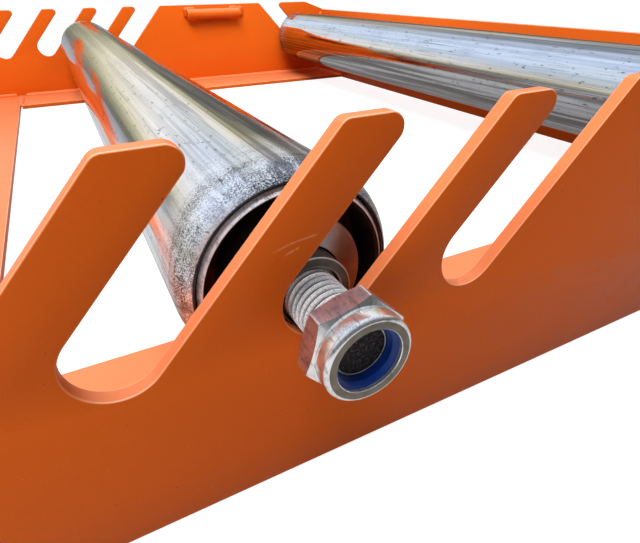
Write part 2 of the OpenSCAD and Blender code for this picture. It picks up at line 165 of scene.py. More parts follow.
# The third colour darkens the drums' mouths, a painted shade in the gap round the housing
NICK, PIT, PAINTED_MOUTH_SHADE = (0.07, 0.07, 0.08), (0.03, 0.03, 0.035), (0.012, 0.011, 0.011)

# Where the drums are stippled, and where their mouths are darkened with painted shade, from the end, in
# millimetres
STIPPLE_START, STIPPLE_FULL = 39.5, 12.5
MOUTH_START, MOUTH_FULL = 1.0, 0.7

# Painted dark reflections in bands along the drums: direction and half width in degrees, and how dark
PAINTED_REFLECTION_BANDS = {
    "front": [(75, 35, 0.76), (192, 24, 0.80)],
    "rear": [(97, 25, 0.9), (213, 42, 0.93)],
}
REFLECTION_BAND_RAGGEDNESS = {"front": 0.9, "rear": 0.35}

# Colours of the other steel parts and of the locking ring
# The third colour here is a painted highlight along the edges of the zinc parts
ZINC_SCRATCH, ZINC_GRIME, PAINTED_ZINC_EDGE_HIGHLIGHT = (0.20, 0.17, 0.15), (0.12, 0.10, 0.09), (0.92, 0.91, 0.88)
CREST_LIGHT, CREST_DARK = (1.0, 0.99, 0.98), (0.86, 0.85, 0.84)
THREAD_ROOT, THREAD_GRIME = (0.022, 0.020, 0.018), (0.035, 0.03, 0.028)
SAWN_DARK, SAWN_LIGHT = (0.005, 0.003, 0.003), (0.14, 0.10, 0.105)
NYLON_DARK, NYLON_LIGHT = (0.001, 0.022, 0.15), (0.0015, 0.032, 0.21)
# Pressed steel: how dark its grain is, and how much lighter its painted edge highlights are, up to a most
GRAIN_SHARE, EDGE_GAIN, EDGE_MOST = 0.25, 1.7, 0.9

# Stage, in metres: floor, sky, lamps and camera
FLOOR_HALF, FLOOR_DROP, FLOOR_GREY = 30, 0.0004, 0.34
FLOOR_GLOW, GLOSSY_SHARE = 0.86, 0.24
SKY = [
    (0.0, (0.19, 0.18, 0.165)), (0.035, (0.23, 0.22, 0.17)), (0.08, (0.42, 0.41, 0.26)),
    (0.13, (0.85, 0.78, 0.58)), (0.22, (1.0, 0.97, 0.92)), (0.42, (0.72, 0.83, 1.0)),
    (1.0, (0.66, 0.78, 1.0)),
]
# Towards the x side the horizon is raised, and towards the camera the sky is dimmed
RAISE_START, RAISE_FULL, HORIZON_RISE = 0.10, 0.24, 0.20
DIM_FULL, DIM_START, DIM_SHARE, HEIGHT_WEIGHT = -0.35, 0.45, 0.08, 0.5
# Name, place, target, size and power
LAMPS = [
    ("key_panel", (-0.32, -0.32, 1.25), (0, 0.1, 0), 0.8, 22),
    ("front_panel", (-0.55, -0.80, 0.08), (-0.25, -0.4, 0.03), 0.5, 1.4),
    ("far_panel", (0.16, 0.12, 0.36), (0.10, 0.40, 0.05), 0.25, 0.8),
]
CAMERA_PLACE = (-0.16404, -0.5015, 0.14921)
CAMERA_RIGHT = (0.88636, -0.46287, -0.01073)
CAMERA_UP = (0.25043, 0.45981, 0.85197)
CAMERA_BACK = (-0.38942, -0.75784, 0.52347)
SENSOR_W, FOCAL_PIXELS, PICTURE_W = 36, 468.324, 640
CLIP_START, CLIP_END = 0.01, 100

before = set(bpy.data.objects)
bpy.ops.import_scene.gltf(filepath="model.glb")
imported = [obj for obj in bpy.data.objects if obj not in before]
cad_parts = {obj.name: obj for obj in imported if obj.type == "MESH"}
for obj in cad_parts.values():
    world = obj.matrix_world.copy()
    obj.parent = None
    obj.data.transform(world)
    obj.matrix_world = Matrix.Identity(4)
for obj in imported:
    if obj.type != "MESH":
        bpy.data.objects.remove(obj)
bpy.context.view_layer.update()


# Materials


class Nodes:
    """Short calls for the nodes of one tree. Its place is the point that every pattern starts from."""

    def __init__(self, tree, place):
        self.tree = tree
        self.place = self.add("ShaderNodeTexCoord").outputs[place]

    def add(self, kind, **settings):
        made = self.tree.nodes.new(kind)
        for key, value in settings.items():
            setattr(made, key, value)
        return made

    def join(self, source, socket):
        self.tree.links.new(source, socket)

    def feed(self, socket, value):
        if isinstance(value, bpy.types.NodeSocket):
            self.join(value, socket)
        else:
            socket.default_value = value

    def scaled(self, scale, turn=(0, 0, 0), start=None):
        """The place, moved so that start is its origin, then turned and scaled."""
        where = self.place
        if start:
            moved = self.add("ShaderNodeVectorMath", operation="SUBTRACT")
            self.join(where, moved.inputs[0])
            moved.inputs[1].default_value = start
            where = moved.outputs["Vector"]
        made = self.add("ShaderNodeMapping")
        made.inputs["Scale"].default_value = scale
        made.inputs["Rotation"].default_value = turn
        self.join(where, made.inputs["Vector"])
        return made.outputs["Vector"]

    def noise(self, scale, detail=3.0, rough=0.5, where=None):
        made = self.add("ShaderNodeTexNoise")
        made.inputs["Scale"].default_value = scale
        made.inputs["Detail"].default_value = detail
        made.inputs["Roughness"].default_value = rough
        self.join(where or self.place, made.inputs["Vector"])
        return made.outputs["Fac"]

    def spread(self, value, low, high, to_low=0.0, to_high=1.0):
        """Maps low and high to two other values, and stays between these."""
        made = self.add("ShaderNodeMapRange", clamp=True)
        self.join(value, made.inputs["Value"])
        for name, number in (("From Min", low), ("From Max", high), ("To Min", to_low), ("To Max", to_high)):
            made.inputs[name].default_value = number
        return made.outputs["Result"]

    def math(self, operation, a, b=0.5):
        made = self.add("ShaderNodeMath", operation=operation)
        self.feed(made.inputs[0], a)
        self.feed(made.inputs[1], b)
        return made.outputs["Value"]

    def times(self, a, b):
        return self.math("MULTIPLY", a, b)

    def plus(self, a, b):
        return self.math("ADD", a, b)

    def mix(self, share, a, b):
        made = self.add("ShaderNodeMix", data_type="RGBA")
        for name, value in (("Factor_Float", share), ("A_Color", a), ("B_Color", b)):
            socket = next(s for s in made.inputs if s.identifier == name)
            self.feed(socket, (*value, 1) if isinstance(value, tuple) else value)
        return next(s for s in made.outputs if s.identifier == "Result_Color")

    def axes(self, where=None):
        made = self.add("ShaderNodeSeparateXYZ")
        self.join(where or self.place, made.inputs["Vector"])
        return made.outputs


class Finish(Nodes):
    """A material around one Principled shader. Patterns lie on the piece's own coordinates, in metres."""

    def __init__(self, name):
        self.material = bpy.data.materials.new(name)
        self.material.use_nodes = True
        super().__init__(self.material.node_tree, "Object")
        self.shader = self.tree.nodes["Principled BSDF"]

    def set(self, **values):
        for key, value in values.items():
            self.feed(self.shader.inputs[key.replace("_", " ")], value)

    def bump(self, height, strength, distance, under=None):
        made = self.add("ShaderNodeBump")
        made.inputs["Strength"].default_value = strength
        made.inputs["Distance"].default_value = distance
        self.join(height, made.inputs["Height"])
        if under:
            self.join(under, made.inputs["Normal"])
        return made.outputs["Normal"]

    def attribute(self, name):
        return self.add("ShaderNodeAttribute", attribute_name=name).outputs["Fac"]


def scratch_mark(f, start, rise, bow, length, width):
    """Share of a thin bowed scratch on the outer face of the near side plate."""
    x, y, z = f.axes(f.scaled((1, 1, 1), start=start))
    wobble = f.times(f.math("SUBTRACT", f.noise(500, 2), 0.5), SCRATCH_WOBBLE)
    bowed = f.math("SUBTRACT", f.times(x, rise), f.times(f.times(x, x), bow))
    off = f.math("ABSOLUTE", f.math("SUBTRACT", z, f.plus(bowed, wobble)))
    across = f.spread(off, width * 0.4, width, 1, 0)
    along = f.times(f.spread(x, 0, length * 0.3), f.spread(x, length * 0.9, length, 1, 0))
    outside = f.spread(y, SCRATCH_FACE_IN, SCRATCH_FACE_OUT, 1, 0)
    broken = f.spread(f.noise(900, 2), 0.35, 0.55, 0.35, 1)
    return f.times(f.times(f.times(across, along), outside), broken)


def orange_powder_coat():
    """Orange coat with fine grain and specks, with a painted sheen where it faces the sky and painted
    highlights along its edges.
    """
    f = Finish("orange_powder_coat")
    cloud = f.spread(f.noise(5, 2), 0.35, 0.65)
    grain = f.noise(1100, 2)
    dark_specks = f.spread(f.noise(640, 1), 0.76, 0.79, 0.0, 0.7)
    pale_specks = f.spread(f.noise(520, 1, where=f.scaled((1.3, 1, 0.9))), 0.78, 0.82, 0.0, 0.3)
    facing_up = f.axes(f.add("ShaderNodeTexCoord").outputs["Normal"])["Z"]
    edge = f.attribute("edge")
    colour = f.mix(cloud, ORANGE_DEEP, ORANGE_BRIGHT)
    colour = f.mix(f.spread(grain, 0.3, 0.7, 0.0, 0.3), colour, ORANGE_GRAIN)
    colour = f.mix(dark_specks, colour, DARK_SPECK)
    colour = f.mix(pale_specks, colour, PALE_SPECK)
    # Painted sheen where the coat faces the sky
    colour = f.mix(f.spread(facing_up, 0.2, 0.8, 0.0, 0.36), colour, PAINTED_SKY_SHEEN)
    # Painted highlights along the edges, paler where an edge faces the sky
    colour = f.mix(f.times(edge, 0.6), colour, PAINTED_EDGE_HIGHLIGHT)
    colour = f.mix(f.times(edge, f.spread(facing_up, 0.4, 0.9, 0.0, 0.6)), colour, PAINTED_TOP_EDGE_HIGHLIGHT)
    scratched = f.math("MAXIMUM", *(scratch_mark(f, *scratch) for scratch in SCRATCHES))
    colour = f.mix(f.times(scratched, 0.55), colour, ORANGE_SCRATCH)
    peel = f.bump(f.noise(650, 2, 0.6), 0.10, 0.0003)
    normal = f.bump(f.noise(45, 2), 0.10, 0.0015, peel)
    rough = f.spread(f.noise(90, 3), 0.3, 0.7, 0.30, 0.40)
    f.set(Base_Color=colour, Roughness=rough, Normal=normal, Specular_IOR_Level=0.09)
    return f.material


def from_drum_end(distance):
    """A place along a drum in metres, from its distance to the drum's end in millimetres."""
    return (DRUM_HALF_LEN - distance) * MM


def zinc_drum(roller):
    """Bright zinc drawn lengthwise, with painted dark reflections in bands along its sides, and stippled
    towards its ends.
    """
    f = Finish(f"{roller}_drum_zinc")
    centre = ((ROLLER_X[roller] - FRAME_LEN / 2) * MM, 0, AXLE_Z * MM)
    fine = f.noise(900, 3, 0.6, f.scaled((1, 0.014, 1)))
    streaks = f.noise(300, 4, 0.6, f.scaled((1, 0.010, 1)))
    wide = f.noise(80, 3, 0.55, f.scaled((1, 0.03, 1)))
    grain = f.noise(2100, 4, 0.7)
    cloud = f.noise(38, 4, 0.6)
    x, y, z = f.axes(f.scaled((1 / (DRUM_R * MM), 1, 1 / (DRUM_R * MM)), start=centre))
    along = f.math("ABSOLUTE", y)
    end = f.spread(along, from_drum_end(STIPPLE_START), from_drum_end(STIPPLE_FULL))

    colour = f.mix(f.spread(streaks, 0.35, 0.68), ZINC_DULL, ZINC_BRIGHT)
    colour = f.mix(f.spread(wide, 0.48, 0.66, 0.0, 0.45), colour, ZINC_YELLOWED)
    colour = f.mix(f.spread(cloud, 0.52, 0.72, 0.0, 0.4), colour, ZINC_CLOUD)
    colour = f.mix(f.spread(fine, 0.55, 0.72, 0.0, 0.6), colour, DRAWN_LINE)

    # Painted dark reflections: bands round the drum, broken up by the lengthwise streaks
    bands = []
    for angle, half_width, share in PAINTED_REFLECTION_BANDS[roller]:
        turn = math.radians(angle)
        facing = f.plus(f.times(x, math.cos(turn)), f.times(z, math.sin(turn)))
        edge = math.cos(math.radians(half_width))
        bands.append(f.spread(facing, 2 * edge - 1, 1 - (1 - edge) * 0.25, 0.0, share))
    streaked = f.plus(f.times(wide, 0.6), f.times(streaks, 1.4))
    torn = f.spread(streaked, 0.92, 1.08, 1.0, 1 - REFLECTION_BAND_RAGGEDNESS[roller])
    colour = f.mix(f.times(f.math("MAXIMUM", *bands), torn), colour, PAINTED_DARK_REFLECTION)

    dents = f.noise(190, 5, 0.8, f.scaled((1.6, 0.6, 1.6), (0.3, 0, 0.5)))
    colour = f.mix(f.spread(dents, 0.605, 0.635, 0.0, 0.85), colour, NICK)
    pits = f.spread(grain, 0.61, 0.68, 0.0, 0.4)
    patches = f.noise(55, 3, 0.6, f.scaled((0.6, 2.6, 0.6)))
    ring = f.times(end, f.spread(patches, 0.38, 0.60, 0.35, 1.0))
    stipple = f.times(f.spread(f.plus(grain, f.times(ring, 0.09)), 0.545, 0.585), ring)
    colour = f.mix(f.math("MAXIMUM", pits, f.times(stipple, 0.95)), colour, PIT)
    # Painted shade at the drum's mouth, near black
    mouth = f.spread(along, from_drum_end(MOUTH_START), from_drum_end(MOUTH_FULL), 0.0, 0.95)
    colour = f.mix(mouth, colour, PAINTED_MOUTH_SHADE)

    rough = f.plus(f.spread(streaks, 0.3, 0.7, 0.05, 0.13), f.times(end, 0.24))
    height = f.plus(f.times(fine, 0.2), f.times(grain, f.spread(end, 0, 1, 0.1, 2.2)))
    normal = f.bump(height, 0.12, 0.0002)
    f.set(Base_Color=colour, Roughness=rough, Normal=normal, Metallic=f.spread(end, 0, 1, 1.0, 0.78))
    return f.material


def bright_zinc(name, light, dark, grime_share, rough=0.15, metallic=1.0):
    """Thin zinc on turned or pressed steel, scratched and grimy, with a painted highlight along its edges.
    """
    f = Finish(name)
    grain = f.noise(2600, 3, 0.6)
    cloud = f.noise(260, 3, 0.6)
    scratches = f.noise(1500, 2, 0.5, f.scaled((1, 0.15, 0.3), (0.4, 0.2, 0.7)))
    colour = f.mix(f.spread(cloud, 0.35, 0.7), light, dark)
    colour = f.mix(f.spread(scratches, 0.56, 0.68, 0.0, 0.5), colour, ZINC_SCRATCH)
    grime = f.times(grain, f.spread(cloud, 0.4, 0.7, 0.8, 1.15))
    colour = f.mix(f.spread(grime, 0.54, 0.66, 0.0, grime_share), colour, ZINC_GRIME)
    # Painted highlight along the edges
    colour = f.mix(f.times(f.attribute("edge"), 0.85), colour, PAINTED_ZINC_EDGE_HIGHLIGHT)
    normal = f.bump(f.plus(grain, scratches), 0.22, 0.00012)
    f.set(Roughness=f.spread(cloud, 0.3, 0.7, rough, rough + 0.1))
    f.set(Base_Color=colour, Normal=normal, Metallic=metallic)
    return f.material


def threaded_steel():
    """Bright crests with dark grime down in the thread, which the depth attribute marks."""
    f = Finish("grimy_threaded_steel")
    depth = f.attribute("depth")
    grain = f.noise(2600, 3, 0.75)
    cloud = f.noise(330, 3)
    colour = f.mix(f.spread(cloud, 0.35, 0.65), CREST_LIGHT, CREST_DARK)
    colour = f.mix(f.times(f.spread(depth, 0.25, 0.85), 0.98), colour, THREAD_ROOT)
    colour = f.mix(f.spread(grain, 0.54, 0.61, 0.0, 0.75), colour, THREAD_GRIME)
    rough = f.spread(depth, 0, 1, 0.20, 0.8)
    f.set(Base_Color=colour, Roughness=rough, Normal=f.bump(grain, 0.45, 0.0003), Metallic=0.35)
    return f.material


def sawn_steel():
    f = Finish("dark_sawn_end")
    grain = f.noise(1300, 4, 0.75)
    colour = f.mix(f.spread(grain, 0.48, 0.70), SAWN_DARK, SAWN_LIGHT)
    f.set(Base_Color=colour, Roughness=0.65, Normal=f.bump(grain, 0.8, 0.0004), Metallic=0.5)
    return f.material


def nylon():
    f = Finish("blue_nylon")
    cloud = f.noise(400, 2)
    colour = f.mix(f.spread(cloud, 0.3, 0.7), NYLON_DARK, NYLON_LIGHT)
    rough = f.spread(cloud, 0.3, 0.7, 0.30, 0.42)
    normal = f.bump(cloud, 0.1, 0.0002)
    f.set(Base_Color=colour, Roughness=rough, Normal=normal, Specular_IOR_Level=0.35)
    return f.material


def pressed_steel(name, light, dark, rough, metallic=1.0, edge=None):
    """Cloudy grained steel, with a painted highlight along its edges, in a lighter tone of its own colour
    unless one is given.
    """
    f = Finish(name)
    grain = f.noise(1800, 3, 0.6)
    cloud = f.noise(140, 3)
    grain_colour = tuple(v * GRAIN_SHARE for v in dark)
    edge_highlight_colour = edge or tuple(min(EDGE_MOST, v * EDGE_GAIN) for v in light)
    colour = f.mix(f.spread(cloud, 0.3, 0.7), light, dark)
    colour = f.mix(f.spread(grain, 0.56, 0.68, 0.0, 0.3), colour, grain_colour)
    # Painted highlight along the edges
    colour = f.mix(f.times(f.attribute("edge"), 0.8), colour, edge_highlight_colour)
    normal = f.bump(f.plus(grain, cloud), 0.2, 0.0002)
    f.set(Base_Color=colour, Normal=normal, Metallic=metallic)
    f.set(Roughness=f.spread(cloud, 0.3, 0.7, rough, rough + 0.12))
    return f.material


PAINT = orange_powder_coat()
DRUM_ZINC = {roller: zinc_drum(roller) for roller in ROLLER_X}
NUT_ZINC = bright_zinc("nut_zinc_plate", (0.95, 0.93, 0.90), (0.80, 0.78, 0.74), 0.45, 0.17, 0.9)
# The flats' pinkish tone is a painted reflection of the orange plate; their scratches and grime are real
NUT_FLATS_PAINTED_REFLECTION = bright_zinc("scratched_nut_flats_painted_reflection", (0.76, 0.69, 0.72), (0.50, 0.43, 0.46), 0.5, 0.25, 0.92)
# The nut's front is dark: a worn coat, and a painted dark reflection
NUT_FRONT_WORN_AND_PAINTED_DARK = bright_zinc("worn_nut_front_painted_dark", (0.21, 0.18, 0.14), (0.145, 0.122, 0.092), 0.4)
RIM_ZINC = bright_zinc("rim_zinc_plate", (0.86, 0.87, 0.88), (0.66, 0.67, 0.68), 0.95, 0.38, 0.5)
THREAD_STEEL = threaded_steel()
SAWN_STEEL = sawn_steel()
NYLON = nylon()
# Dark finish of the housing's well and the rim's inner side: a painted shade down in the drum's mouth
WELL_PAINTED_SHADE = pressed_steel("well_steel_painted_shade", (0.10, 0.075, 0.06), (0.035, 0.028, 0.024), 0.45, 0.8)
CAP_STEEL = pressed_steel("pressed_cap_steel", (0.36, 0.36, 0.37), (0.25, 0.24, 0.24), 0.26, 0.9)
# The spacer's edges get a pale painted highlight
SPACER_STEEL = pressed_steel(
    "dull_spacer_steel", (0.15, 0.13, 0.11), (0.08, 0.07, 0.06), 0.38, 0.9, (0.90, 0.80, 0.70)
)
BEARING_STEEL = pressed_steel("ground_bearing_steel", (0.62, 0.62, 0.63), (0.50, 0.50, 0.52), 0.16)
SPRING_STEEL = pressed_steel("blued_spring_steel", (0.09, 0.09, 0.10), (0.05, 0.05, 0.06), 0.35)


# Mesh tools


def verts_of(made):
    return [g for g in made["geom"] if isinstance(g, bmesh.types.BMVert)]


def edges_of(made):
    return [g for g in made["geom"] if isinstance(g, bmesh.types.BMEdge)]


def faces_of(made):
    return [g for g in made["geom"] if isinstance(g, bmesh.types.BMFace)]


def rotate(bm, angle, axis):
    bmesh.ops.rotate(bm, cent=(0, 0, 0), matrix=Matrix.Rotation(angle, 3, axis), verts=bm.verts)


def finish_piece(bm, name, body, slot, materials, nodes, smooth=32, place=None):
    """Turns a bmesh in millimetres into a piece that rides on a body and stands for CAD nodes."""
    bmesh.ops.remove_doubles(bm, verts=bm.verts, dist=MERGE)
    bmesh.ops.recalc_face_normals(bm, faces=bm.faces)
    if place:
        bmesh.ops.transform(bm, matrix=place, verts=bm.verts)
    bmesh.ops.scale(bm, vec=(MM, MM, MM), verts=bm.verts)
    mesh = bpy.data.meshes.new(name)
    bm.to_mesh(mesh)
    bm.free()
    for material in materials:
        mesh.materials.append(material)
    mesh.shade_smooth()
    mesh.set_sharp_from_angle(angle=math.radians(smooth))
    piece = bpy.data.objects.new(name, mesh)
    bpy.context.scene.collection.objects.link(piece)
    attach(piece, body)
    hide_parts(*nodes)


def copy_into(target, source, matrix=None):
    """Adds a copy of one bmesh to another, placed by a matrix."""
    mesh = bpy.data.meshes.new("copy")
    source.to_mesh(mesh)
    if matrix:
        mesh.transform(matrix)
    target.from_mesh(mesh)
    bpy.data.meshes.remove(mesh)


def from_low_end(x, y, z):
    """Place whose x is counted from the frame's low end."""
    return Matrix.Translation((x - FRAME_LEN / 2, y, z))


def cut_corner(bm, vert, offset, segments):
    return bmesh.ops.bevel(
        bm, geom=[vert], offset=offset, offset_type="OFFSET", segments=segments, profile=0.5,
        affect="VERTICES", material=-1, clamp_overlap=False,
    )["verts"]


def round_corner(bm, vert, radius):
    """Rounds a square corner at once. Others get a cut that touches the arc, then two roundings."""
    a, b = (e.other_vert(vert).co - vert.co for e in vert.link_edges)
    half = a.angle(b) / 2
    far = radius / math.tan(half)
    if abs(half - math.pi / 4) < SQUARE_FIT:
        cut_corner(bm, vert, far, ROUND_STEPS)
        return
    first = (radius / math.sin(half) - radius) / math.cos(half)
    for corner in cut_corner(bm, vert, first, 1):
        cut_corner(bm, corner, far - first, ROUND_STEPS // 2)


def soften_edges(bm, offset, segments=3, least=40, keep=lambda edge: True):
    """Rounds the edges that are sharper than an angle, and marks the middle of the rounding as edge."""
    layer = bm.verts.layers.float.new("edge")
    sharp = [
        e for e in bm.edges
        if len(e.link_faces) == 2 and e.calc_face_angle(0) > math.radians(least) and keep(e)
    ]
    made = bmesh.ops.bevel(
        bm, geom=sharp, offset=offset, offset_type="OFFSET", segments=segments, profile=0.5,
        affect="EDGES", material=-1, clamp_overlap=True,
    )
    fresh = set(made["faces"])
    for vert in made["verts"]:
        vert[layer] = float(all(face in fresh for face in vert.link_faces))


def turned(profile, steps, soften=0.0, least=30, segments=2):
    """Spins a closed outline of (radius, height) about Z."""
    bm = bmesh.new()
    verts = [bm.verts.new((r, 0, z)) for r, z in profile]
    edges = [bm.edges.new(pair) for pair in zip(verts, verts[1:] + verts[:1])]
    bmesh.ops.spin(
        bm, geom=verts + edges, cent=(0, 0, 0), axis=(0, 0, 1), angle=math.tau, steps=steps, use_merge=True
    )
    bmesh.ops.recalc_face_normals(bm, faces=bm.faces)
    if soften:
        soften_edges(bm, soften, segments, least)
    return bm


def ring_stack(rings, segments):
    """Tube of rings about Z. A ring is a function of its angle that gives (radius, height)."""
    bm = bmesh.new()
    bmesh.ops.create_circle(bm, segments=segments, radius=1)
    ring, edges = bm.verts[:], bm.edges[:]
    for number, shape in enumerate(rings):
        if number:
            grown = bmesh.ops.extrude_edge_only(bm, edges=edges)
            ring = verts_of(grown)
            fresh = set(ring)
            edges = [e for e in edges_of(grown) if set(e.verts) <= fresh]
        for vert in ring:
            angle = math.atan2(vert.co.y, vert.co.x)
            r, z = shape(angle)
            vert.co = (r * math.cos(angle), r * math.sin(angle), z)
    return bm


def arc(cx, cy, r, start, end, steps):
    """Points of an arc between two angles in degrees."""
    turn = [math.radians(start + (end - start) * i / steps) for i in range(steps + 1)]
    return [(cx + r * math.cos(t), cy + r * math.sin(t)) for t in turn]


# Frame pieces


def slot_corners(x, way):
    """Corners of one open slot, each with its rounding. Its mouth leans to the high end where way is 1."""
    mouth = x + way * SLOT_LEAN
    lean = Vector((way * math.cos(SLOT_ANGLE), math.sin(SLOT_ANGLE)))
    across = Vector((math.sin(SLOT_ANGLE), -way * math.cos(SLOT_ANGLE)))
    bottom = Vector((x, SEAT_H)) - lean * SLOT_W / 2
    left, right = bottom - across * SLOT_W / 2, bottom + across * SLOT_W / 2
    first, last = (TIP_R, LIP_R) if way > 0 else (LIP_R, TIP_R)
    return [
        (mouth - HALF_MOUTH, PLATE_H, first), (*left, SLOT_W / 2),
        (*right, SLOT_W / 2), (mouth + HALF_MOUTH, PLATE_H, last),
    ]


def side_outline():
    """Corners of a side plate from its low end, each with its rounding."""
    points = [(0, 0, 0), (0, LOW_END_H, END_R), (FIRST_LIP, PLATE_H, LIP_R)]
    for x in ROW_SEATS:
        points += slot_corners(x, 1)
    points += slot_corners(REAR_SEAT, -1)
    points += [(FRAME_LEN - DROP_LEN, PLATE_H, END_R), (FRAME_LEN, WALL_H, END_R), (FRAME_LEN, 0, 0)]
    return points


def side_plate():
    """Slotted plate, standing up with its outer face on the plane y = 0 and its thickness towards +y."""
    bm = bmesh.new()
    corners = [(bm.verts.new((x, y, 0)), r) for x, y, r in side_outline()]
    bm.faces.new([v for v, r in corners])
    for vert, radius in corners:
        if radius:
            round_corner(bm, vert, radius * ROUND_SHARE)
    bmesh.ops.remove_doubles(bm, verts=bm.verts, dist=OUTLINE_MERGE)
    grown = bmesh.ops.extrude_face_region(bm, geom=bm.faces[:])
    bmesh.ops.translate(bm, vec=(0, 0, -PLATE_T), verts=verts_of(grown))
    rotate(bm, math.pi / 2, "X")
    bmesh.ops.recalc_face_normals(bm, faces=bm.faces)
    soften_edges(bm, PAINT_EDGE, least=CURVE_LEAST_ANGLE)
    return bm


def flat_bar(x, y, z):
    """Flat bar or plate with rounded edges, from the origin to the given sizes."""
    bm = bmesh.new()
    bmesh.ops.create_cube(bm, size=1)
    bmesh.ops.translate(bm, vec=(0.5, 0.5, 0.5), verts=bm.verts)
    bmesh.ops.scale(bm, vec=(x, y, z), verts=bm.verts)
    soften_edges(bm, PAINT_EDGE)
    return bm


def round_bar(radius, length, steps, edge, edge_steps):
    """Plain bar along Z, with rounded ends."""
    bm = bmesh.new()
    bmesh.ops.create_cone(bm, cap_ends=True, segments=steps, radius1=radius, radius2=radius, depth=length)
    soften_edges(bm, edge, edge_steps, CURVE_LEAST_ANGLE)
    return bm


def grip_bar():
    bm = round_bar(GRIP_D / 2, GRIP_LEN, GRIP_STEPS, GRIP_EDGE, 3)
    rotate(bm, math.pi / 2, "Y")
    return bm


def weld_run(length, radius, step, ripple, wander, seed):
    """Rippled round bead along X, from 0 to its length. Its ends fade to a blunt tip."""
    bm = bmesh.new()
    bmesh.ops.create_circle(bm, segments=BEAD_STEPS, radius=radius)
    rotate(bm, math.pi / 2, "Y")
    count = round(length / step)
    step = length / count
    ring, edges, size = bm.verts[:], bm.edges[:], 1.0

    def wanted(i):
        to_tip = math.sqrt(min(i, count - i) * step / radius)
        end = min(1.0, BEAD_TIP_SHARE + (1 - BEAD_TIP_SHARE) * to_tip)
        wave = ripple * (1 if i % 2 else -1) * (0.6 + 0.4 * math.sin(i * 0.7 + seed))
        return end * (1 + wave + wander * math.sin(i * 0.23 + seed * 2) * math.sin(i * 0.11 + seed))

    for i in range(count + 1):
        if i:
            grown = bmesh.ops.extrude_edge_only(bm, edges=edges)
            ring = verts_of(grown)
            fresh = set(ring)
            edges = [e for e in edges_of(grown) if set(e.verts) <= fresh]
            bmesh.ops.translate(bm, vec=(step, 0, 0), verts=ring)
        factor = wanted(i) / size
        middle = Matrix.Translation((-i * step, 0, 0))
        bmesh.ops.scale(bm, vec=(1, factor, factor), verts=ring, space=middle)
        size = wanted(i)
        if i in (0, count):
            bmesh.ops.contextual_create(bm, geom=edges)
    return bm


def make_frame():
    def painted(bm, node, x, y, z=0):
        finish_piece(
            bm, f"{node}_painted", "frame", "orange_paint", [PAINT], [node], place=from_low_end(x, y, z)
        )

    for side, sign in SIDES.items():
        near = side == "near"
        painted(side_plate(), f"{side}_side_plate", 0, -FRAME_W / 2 if near else INNER_HALF_W)
        painted(
            flat_bar(STRIP_END - STRIP_START, STRIP_W, STRIP_T), f"{side}_base_strip",
            STRIP_START, -INNER_HALF_W if near else INNER_HALF_W - STRIP_W,
        )
        painted(grip_bar(), f"{side}_grip_bar", GRIP_X, sign * (INNER_HALF_W - GRIP_D / 2), GRIP_H)
    painted(flat_bar(FRONT_W, 2 * INNER_HALF_W, STRIP_T), "front_plate", 0, -INNER_HALF_W)
    painted(flat_bar(WALL_T, 2 * INNER_HALF_W, WALL_H), "end_wall", FRAME_LEN - WALL_T, -INNER_HALF_W)


def side_welds(side, sign, seed):
    """Beads of one side, each with the node it belongs to and its place."""
    upright = Matrix.Rotation(-math.pi / 2, 4, "Y")
    across = Matrix.Rotation(math.pi / 2, 4, "Z")
    wall = sign * INNER_HALF_W
    joining_start = wall + WELD_LEG if side == "near" else wall - STRIP_W + WELD_STOP
    yield (
        "base_welds",
        weld_run(STRIP_END - STRIP_START - 2 * WELD_STOP - WELD_LEG, *SMOOTH_BEAD, seed),
        from_low_end(STRIP_START + WELD_STOP, wall - sign * BASE_BEAD_IN, STRIP_T - BASE_BEAD_SINK)
        @ Matrix.Diagonal((1, BASE_BEAD_SPREAD, 1, 1)),
    )
    yield (
        "front_welds",
        weld_run(FRONT_W - 2 * WELD_STOP, *CORNER_BEAD, seed + 1),
        from_low_end(WELD_STOP, wall, STRIP_T),
    )
    yield (
        "front_welds",
        weld_run(STRIP_W - WELD_LEG - WELD_STOP, *JOINING_BEAD, seed + 2),
        from_low_end(FRONT_W + STRIP_GAP / 2, joining_start, STRIP_T - JOINING_SINK)
        @ across @ Matrix.Diagonal((1, 1, JOINING_FLATNESS, 1)),
    )
    yield (
        "end_wall_welds",
        weld_run(WALL_H - STRIP_T - WELD_LEG - WELD_STOP, *UPRIGHT_BEAD, seed + 3),
        from_low_end(FRAME_LEN - WALL_T, wall, STRIP_T + WELD_LEG) @ upright,
    )
    for along, radius in GRIP_LUMPS:
        x = GRIP_START + along
        lump = weld_run(LUMP_LEN, radius, *LUMP_SURFACE, seed + x)
        yield "grip_welds", lump, from_low_end(x, wall, GRIP_H - LUMP_DROP) @ upright
    for end in (0, 1):
        for way in (-1, 1):
            bead = weld_run(GRIP_BEAD_LEN, *GRIP_BEAD, seed + end * 2 + way)
            x = GRIP_START + end * (GRIP_LEN - GRIP_BEAD_LEN)
            z = GRIP_H + way * (GRIP_BEAD_START + GRIP_BEAD_R)
            yield "grip_welds", bead, from_low_end(x, wall, z)


def make_welds():
    nodes = {}
    for number, (side, sign) in enumerate(SIDES.items()):
        for node, bead, place in side_welds(side, sign, SEED_STEP * number):
            if node not in nodes:
                nodes[node] = bmesh.new()
            copy_into(nodes[node], bead, place)
            bead.free()
    for node, bm in nodes.items():
        finish_piece(bm, f"{node}_painted", "frame", "orange_paint", [PAINT], [node], smooth=60)


# Roller pieces


def roller_end(roller, side):
    """Place at a roller's end, with Z outwards from the inside of the side plate."""
    turn = Matrix.Rotation(math.pi / 2, 4, "X")
    if side == "far":
        turn = Matrix.Rotation(math.pi, 4, "Z") @ turn
    return from_low_end(ROLLER_X[roller], SIDES[side] * INNER_HALF_W, AXLE_Z) @ turn


def along_roller(roller):
    return from_low_end(ROLLER_X[roller], 0, AXLE_Z) @ Matrix.Rotation(math.pi / 2, 4, "X")


